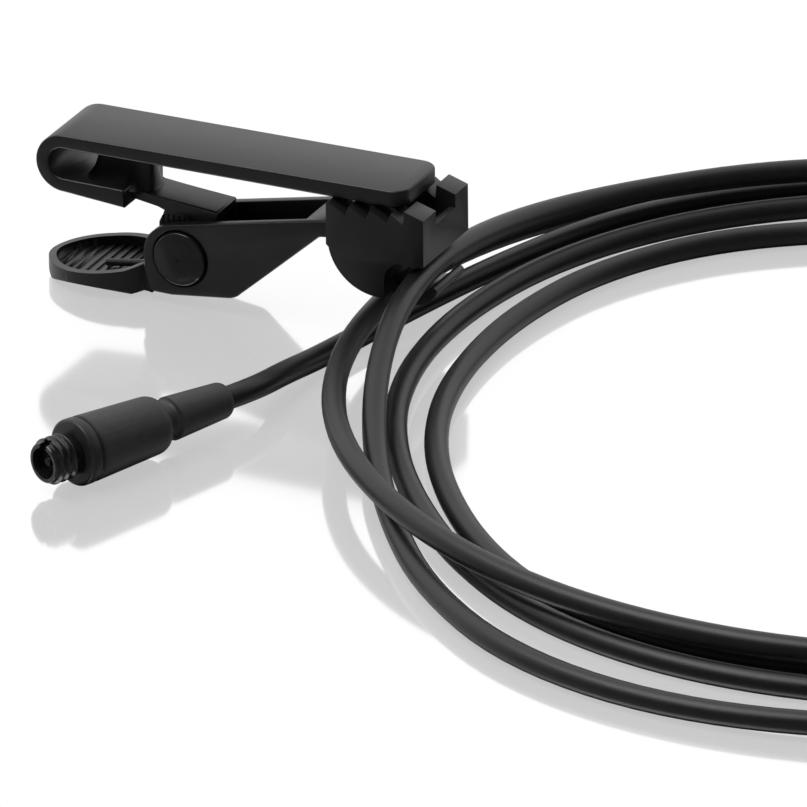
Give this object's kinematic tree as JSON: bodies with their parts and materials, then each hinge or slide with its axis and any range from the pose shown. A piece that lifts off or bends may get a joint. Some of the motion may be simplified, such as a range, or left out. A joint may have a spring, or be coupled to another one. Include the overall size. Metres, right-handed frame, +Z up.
{
  "type": "lavalier microphone with tie clip",
  "caption": "Clip-on lapel microphone: sprung toothed tie clip, loosely coiled thin cord, small capsule and a threaded round plug.",
  "frame": {"origin": "middle of the flat under the clip's thumb pad, on the surface that everything lies on", "axes": "+X from the thumb pad to the toothed jaw, +Z up from the surface, clip symmetric about Y = 0"},
  "size_m": [0.144, 0.1205, 0.0158],
  "materials": {
    "clip_plastic": "fine satin",
    "pin_plastic": "polished",
    "spring_steel": "drawn wire",
    "cord_jacket": "satin",
    "plug_metal": "dark polished",
    "plug_rubber": "satin",
    "contact_gold": "plated",
    "insulator_black": "matt",
    "capsule_black": "satin black",
    "mesh_steel": "woven",
    "foil": "bright",
    "board_green": "solder mask"
  },
  "bodies": {
    "clip_base": {"lower_arm": "clip_plastic", "jaw_block": "clip_plastic", "hinge_pin": "pin_plastic", "hinge_pin_cap": "pin_plastic", "torsion_spring": "spring_steel", "plug_threaded_nose": "plug_metal", "plug_insulator": "insulator_black", "plug_centre_contact": "contact_gold", "plug_collar": "plug_metal", "plug_body": "plug_rubber", "plug_ferrule": "plug_metal", "plug_strain_relief": "plug_rubber", "cable_plug_lead": "cord_jacket", "cable_coil": "cord_jacket", "cable_capsule_lead": "cord_jacket", "capsule_boot": "plug_rubber", "capsule_housing": "capsule_black", "capsule_grille": "capsule_black", "capsule_mesh": "mesh_steel", "diaphragm_ring": "contact_gold", "diaphragm": "foil", "spacer_ring": "insulator_black", "backplate": "contact_gold", "insulator_cup": "insulator_black", "contact_washer": "contact_gold", "preamp_board": "board_green"},
    "clip_arm": {"upper_arm": "clip_plastic"}
  },
  "joints": [
    {"name": "clip_hinge", "type": "hinge", "parent": "clip_base", "child": "clip_arm", "pos_m": [0.00975, 0, 0.00475], "axis": [0, -1, 0], "range_deg": [0, 33], "stiffness_Nm_per_rad": 0.015, "springref_deg": -114.59, "deforming": ["torsion_spring"]}
  ]
}
